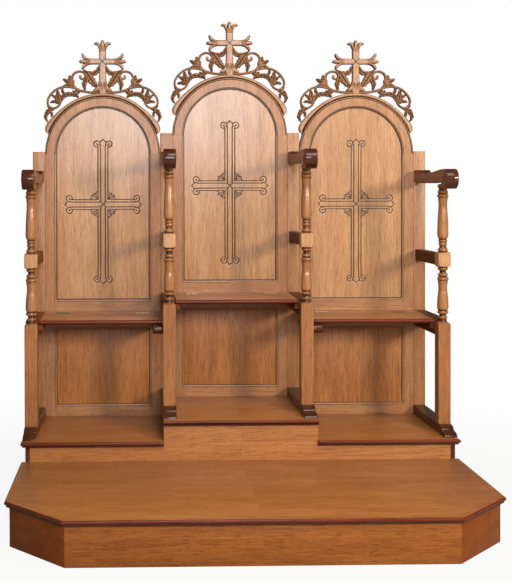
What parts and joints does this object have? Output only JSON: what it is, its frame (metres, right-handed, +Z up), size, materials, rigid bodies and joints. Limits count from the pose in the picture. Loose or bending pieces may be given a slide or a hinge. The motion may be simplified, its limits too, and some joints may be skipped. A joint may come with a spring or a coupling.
{
  "type": "choir stall",
  "caption": "Triple choir stall with arched panelled backs, pierced crests, turned front posts, rolled arms, tip-up seats and a chamfered step.",
  "frame": {"origin": "on the floor, in the middle of the footprint", "axes": "+X to the sitter's left as seen from the front (right in a front view), +Y to the wall behind the stall, +Z up"},
  "size_m": [1.96, 1.35, 2.224],
  "materials": {
    "honey_oak": "semi-gloss varnish",
    "panel_oak": "semi-gloss varnish",
    "carved_oak": "semi-gloss varnish",
    "deck_oak": "semi-gloss varnish",
    "dark_walnut": "dark stain and varnish",
    "nosing_mahogany": "dark stain and varnish",
    "carcass_pine": "bare timber",
    "hinge_brass": "satin"
  },
  "bodies": {
    "root": {"dais_deck": "deck_oak", "dais_nosing": "nosing_mahogany", "dais_front_board": "honey_oak", "dais_chamfer_boards": "honey_oak", "dais_side_boards": "honey_oak", "dais_back_board": "carcass_pine", "floor_joists": "carcass_pine", "floor_front_board": "honey_oak", "floor_side_boards": "dark_walnut", "floor_back_board": "carcass_pine", "floor_cross_boards": "carcass_pine", "deck_left": "deck_oak", "deck_centre": "deck_oak", "deck_right": "deck_oak", "deck_nosing": "nosing_mahogany", "back_posts_outer": "honey_oak", "back_posts_inner": "honey_oak", "elbow_rails": "honey_oak", "seat_rails": "honey_oak", "seat_ledges": "honey_oak", "seat_brackets": "dark_walnut", "floor_runners": "dark_walnut", "hinge_strips": "honey_oak", "hinge_fixed_leaves": "hinge_brass", "back_stiles_left": "honey_oak", "arch_head_left": "honey_oak", "back_rails_left": "honey_oak", "upper_panel_left": "panel_oak", "lower_panel_left": "panel_oak", "crest_left": "carved_oak", "back_stiles_centre": "honey_oak", "arch_head_centre": "honey_oak", "back_rails_centre": "honey_oak", "upper_panel_centre": "panel_oak", "lower_panel_centre": "panel_oak", "crest_centre": "carved_oak", "back_stiles_right": "honey_oak", "arch_head_right": "honey_oak", "back_rails_right": "honey_oak", "upper_panel_right": "panel_oak", "lower_panel_right": "panel_oak", "crest_right": "carved_oak", "front_post_outer_left": "honey_oak", "arm_outer_left": "dark_walnut", "front_post_inner_left": "honey_oak", "arm_inner_left": "dark_walnut", "front_post_inner_right": "honey_oak", "arm_inner_right": "dark_walnut", "front_post_outer_right": "honey_oak", "arm_outer_right": "dark_walnut"},
    "seat_body_left": {"seat_left": "deck_oak", "seat_lipping_left": "nosing_mahogany", "hinge_leaves_left": "hinge_brass"},
    "seat_body_centre": {"seat_centre": "deck_oak", "seat_lipping_centre": "nosing_mahogany", "hinge_leaves_centre": "hinge_brass"},
    "seat_body_right": {"seat_right": "deck_oak", "seat_lipping_right": "nosing_mahogany", "hinge_leaves_right": "hinge_brass"}
  },
  "joints": [
    {"name": "seat_tilt_left", "type": "hinge", "parent": "root", "child": "seat_body_left", "pos_m": [-0.63, 0.56, 0.789], "axis": [-1, 0, 0], "range_deg": [0, 103]},
    {"name": "seat_tilt_centre", "type": "hinge", "parent": "root", "child": "seat_body_centre", "pos_m": [0, 0.56, 0.881], "axis": [-1, 0, 0], "range_deg": [0, 103]},
    {"name": "seat_tilt_right", "type": "hinge", "parent": "root", "child": "seat_body_right", "pos_m": [0.63, 0.56, 0.789], "axis": [-1, 0, 0], "range_deg": [0, 103]}
  ]
}
